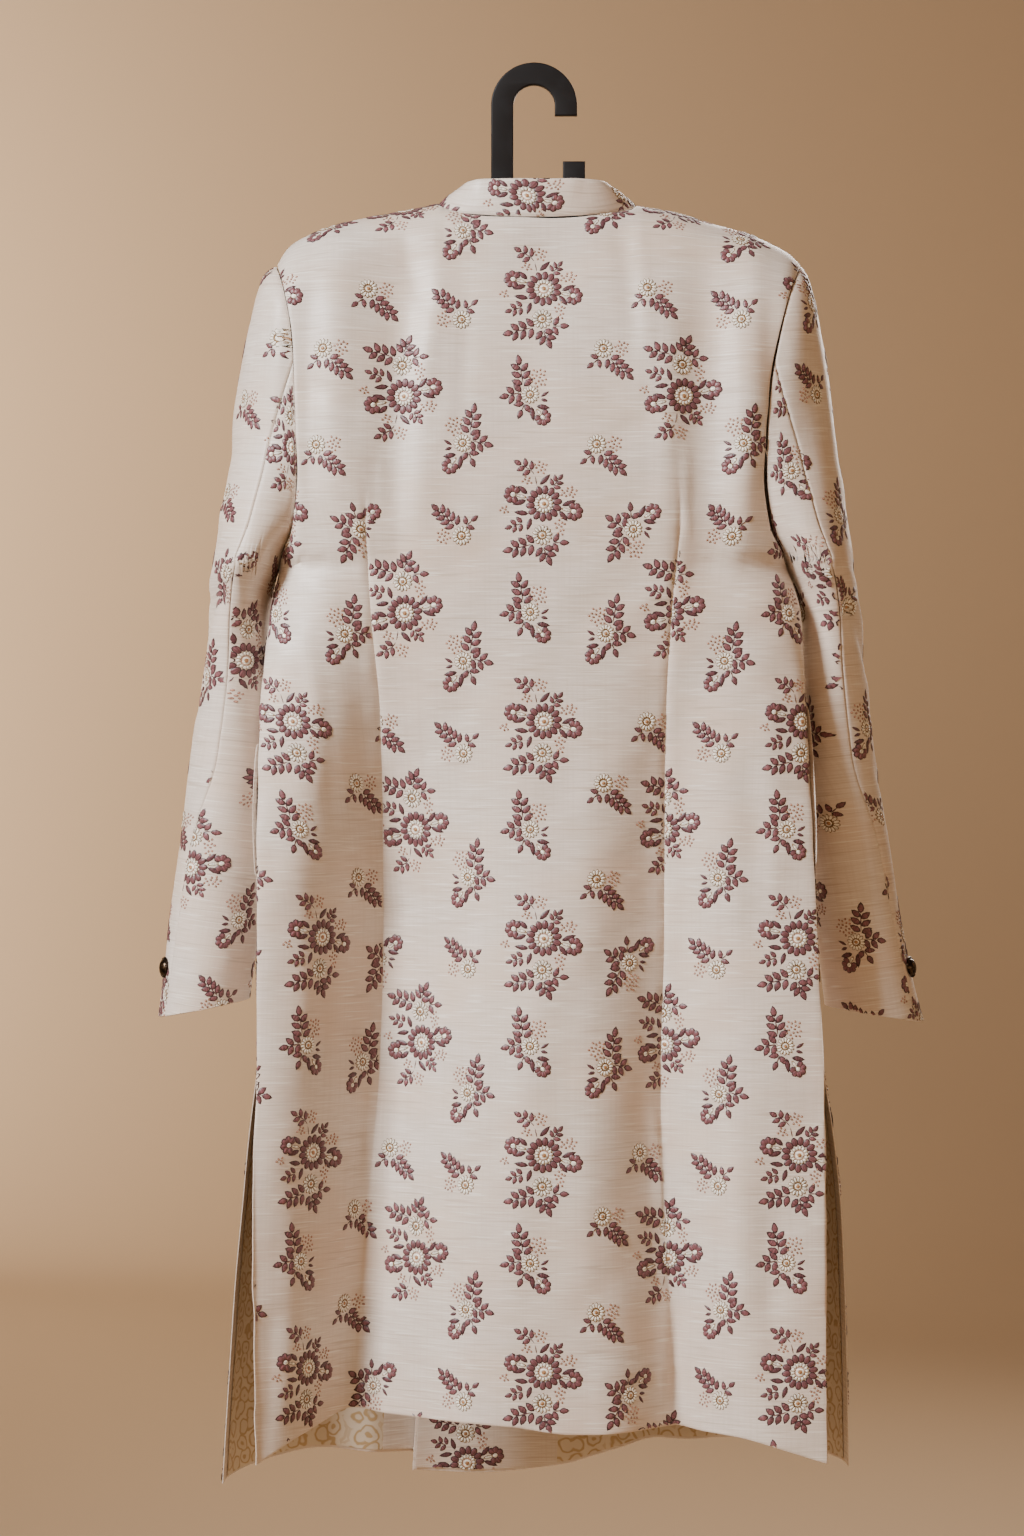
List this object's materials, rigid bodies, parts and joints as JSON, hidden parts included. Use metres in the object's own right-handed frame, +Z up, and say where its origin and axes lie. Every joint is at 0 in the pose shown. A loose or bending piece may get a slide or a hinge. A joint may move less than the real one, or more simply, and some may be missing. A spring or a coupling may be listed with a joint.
{
  "type": "sherwani coat on a hanger",
  "caption": "Knee-length buttoned sherwani coat with a stand collar, side vents and in-seam pockets, hanging from a flat moulded hanger.",
  "frame": {"origin": "the seat of the hanger's hook, the highest point inside its arch, where a rail or hook carries it", "axes": "+Z up, +Y the way the coat faces, +X the wearer's right"},
  "size_m": [0.6915, 0.1912, 1.2787],
  "materials": {
    "silk": "soft satin sheen, fine horizontal slubs, floral embroidery",
    "silk_facing": "soft satin sheen, fine horizontal slubs",
    "brocade_lining": "brocade of old-gold figures woven on a silver-beige ground",
    "antique_metal": "dark antique, polished high spots",
    "black_plastic": "moulded, semi matte"
  },
  "bodies": {
    "root": {"back": "silk", "front_left_over": "silk", "front_right_under": "silk", "sleeve_top_left": "silk", "sleeve_under_left": "silk", "sleeve_top_right": "silk", "sleeve_under_right": "silk", "collar": "silk", "facing_left": "silk_facing", "facing_right": "silk_facing", "lining_left": "brocade_lining", "lining_right": "brocade_lining", "pocket_lip_left": "silk_facing", "pocket_lip_right": "silk_facing", "front_button_1": "antique_metal", "front_button_2": "antique_metal", "front_button_3": "antique_metal", "front_button_4": "antique_metal", "front_button_5": "antique_metal", "front_button_6": "antique_metal", "front_button_7": "antique_metal", "cuff_button_left": "antique_metal", "cuff_button_right": "antique_metal", "hanger_hook": "black_plastic", "hanger_bar": "black_plastic"}
  },
  "joints": []
}
